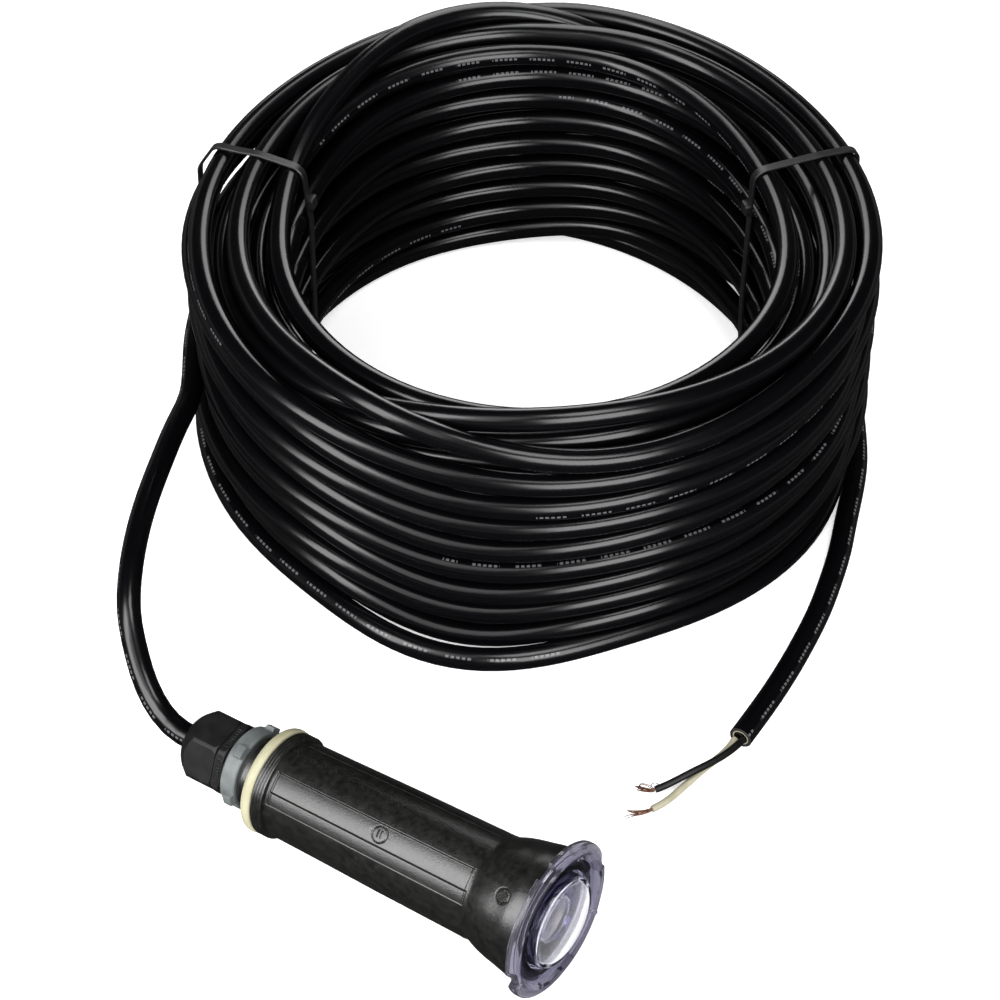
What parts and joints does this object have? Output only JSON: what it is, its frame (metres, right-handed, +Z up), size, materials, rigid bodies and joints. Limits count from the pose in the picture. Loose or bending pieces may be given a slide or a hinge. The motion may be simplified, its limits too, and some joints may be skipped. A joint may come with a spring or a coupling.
{
  "type": "underwater pool light",
  "caption": "Slim underwater pool light with a domed smoky lens, a long black body for a pipe fitting, a sealed cable gland and its cord wound into a tied coil.",
  "frame": {"origin": "on the floor, under the middle of the light, which lies on its sealing ring and on the rim of its lens flange", "axes": "+Z up; +X along the light towards the lens, whose own axis rises 4.2 degrees from +X; the coil lies towards +Y"},
  "size_m": [0.3119, 0.3983, 0.1155],
  "materials": {
    "black_nylon": "moulded nylon, satin",
    "grey_nylon": "moulded nylon, satin",
    "housing_black": "moulded, satin to semi-gloss",
    "cream_rubber": "smooth, dull",
    "black_rubber": "smooth, dull",
    "smoky_lens": "clear moulded polycarbonate, smoky purple-grey, polished",
    "mirror_metal": "bright metallised",
    "clear_optic": "clear moulded, polished",
    "led_yellow": "phosphor under clear silicone",
    "thermal_grey": "matte",
    "board_white": "white solder mask on aluminium",
    "aluminium": "machined",
    "steel": "plated",
    "board_green": "green solder mask",
    "epoxy_black": "moulded or cast epoxy",
    "wire_red": "insulation",
    "wire_black": "insulation",
    "wire_ivory": "insulation",
    "copper": "bare stranded copper",
    "cord_black": "semi-gloss cable jacket",
    "tie_black": "moulded nylon"
  },
  "bodies": {
    "light": {"gland_body": "black_nylon", "gland_seal": "black_rubber", "sealing_washer": "black_rubber", "housing": "housing_black", "sealing_ring": "cream_rubber", "lens_cover": "smoky_lens", "lens_gasket": "black_rubber", "reflector": "mirror_metal", "inner_optic": "clear_optic", "led_chip": "led_yellow", "thermal_pad": "thermal_grey", "led_board": "board_white", "heat_sink": "aluminium", "board_screw_upper": "steel", "board_screw_lower": "steel", "driver_board": "board_green", "driver_transformer": "epoxy_black", "driver_bridge": "epoxy_black", "driver_controller": "epoxy_black", "driver_capacitor": "aluminium", "cable_entry": "cord_black", "potting_plug": "epoxy_black", "supply_wire_white": "wire_ivory", "supply_wire_black": "wire_black", "led_lead_red": "wire_red", "led_lead_black": "wire_black", "cable_lead": "cord_black", "cable_tail": "cord_black", "cable_coil": "cord_black", "conductor_black": "wire_black", "conductor_white": "wire_ivory", "strands_black": "copper", "strands_white": "copper", "cable_tie_left": "tie_black", "cable_tie_right": "tie_black"},
    "gland_claw": {"gland_claw": "black_nylon"},
    "gland_nut": {"gland_nut": "black_nylon"},
    "locknut": {"locknut": "grey_nylon"}
  },
  "joints": [
    {"name": "gland_clamp", "type": "slide", "parent": "light", "child": "gland_claw", "axis": [-0.9973, 0, -0.0741], "range_m": [0, 0.0045]},
    {"name": "gland_nut_turn", "type": "hinge", "parent": "gland_claw", "child": "gland_nut", "pos_m": [-0.0751, 0, 0.01844], "axis": [-0.9973, 0, -0.0741], "range_deg": [0, 1080]},
    {"name": "locknut_turn", "type": "hinge", "parent": "light", "child": "locknut", "pos_m": [-0.05755, 0, 0.01975], "axis": [-0.9973, 0, -0.0741], "range_deg": [0, 150]}
  ],
  "couplings": [
    {"joint": "gland_clamp", "follows": "gland_nut_turn", "m_per_rad": 0.00023873}
  ]
}
